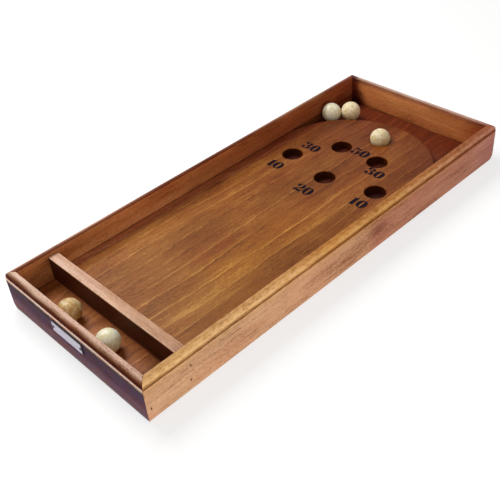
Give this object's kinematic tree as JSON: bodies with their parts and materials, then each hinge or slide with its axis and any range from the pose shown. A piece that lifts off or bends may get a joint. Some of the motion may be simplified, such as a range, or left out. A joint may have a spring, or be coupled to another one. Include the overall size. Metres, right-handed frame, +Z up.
{
  "type": "bagatelle board game",
  "caption": "Open mitred wooden tray with a raised half-round playfield bored with ball cups, a crossbar that makes a ball tray, and loose balls.",
  "frame": {"origin": "middle of the footprint on the underside, nameplate and pin heads included in the footprint", "axes": "+Z up, +Y along the length from the player's end to the far half-round end, +X to the player's right"},
  "size_m": [0.274, 0.6682, 0.057],
  "materials": {
    "rail_wood": "stained and varnished beech",
    "floor_wood": "stained plywood",
    "playfield_wood": "stained and varnished, satin",
    "crossbar_wood": "stained, satin",
    "plate_metal": "brushed, bare",
    "dark_steel": "blackened steel",
    "steel": "zinc plated",
    "ball_resin": "mottled cream composition"
  },
  "bodies": {
    "case": {"left_rail": "rail_wood", "right_rail": "rail_wood", "near_end_board": "rail_wood", "far_end_board": "rail_wood", "base_panel": "floor_wood", "playfield_board": "playfield_wood", "crossbar": "crossbar_wood", "nameplate": "plate_metal", "nameplate_pins": "dark_steel", "crossbar_brads": "dark_steel", "corner_brads": "dark_steel", "playfield_screws": "steel"},
    "ball_1": {"ball_1": "ball_resin"},
    "ball_2": {"ball_2": "ball_resin"},
    "ball_3": {"ball_3": "ball_resin"},
    "ball_4": {"ball_4": "ball_resin"},
    "ball_5": {"ball_5": "ball_resin"}
  },
  "joints": [
    {"name": "ball_1_lift", "type": "slide", "parent": "case", "child": "ball_1", "axis": [0, 0, 1], "range_m": [0, 0.06]},
    {"name": "ball_2_lift", "type": "slide", "parent": "case", "child": "ball_2", "axis": [0, 0, 1], "range_m": [0, 0.06]},
    {"name": "ball_3_lift", "type": "slide", "parent": "case", "child": "ball_3", "axis": [0, 0, 1], "range_m": [0, 0.06]},
    {"name": "ball_4_lift", "type": "slide", "parent": "case", "child": "ball_4", "axis": [0, 0, 1], "range_m": [0, 0.06]},
    {"name": "ball_5_lift", "type": "slide", "parent": "case", "child": "ball_5", "axis": [0, 0, 1], "range_m": [0, 0.06]}
  ]
}
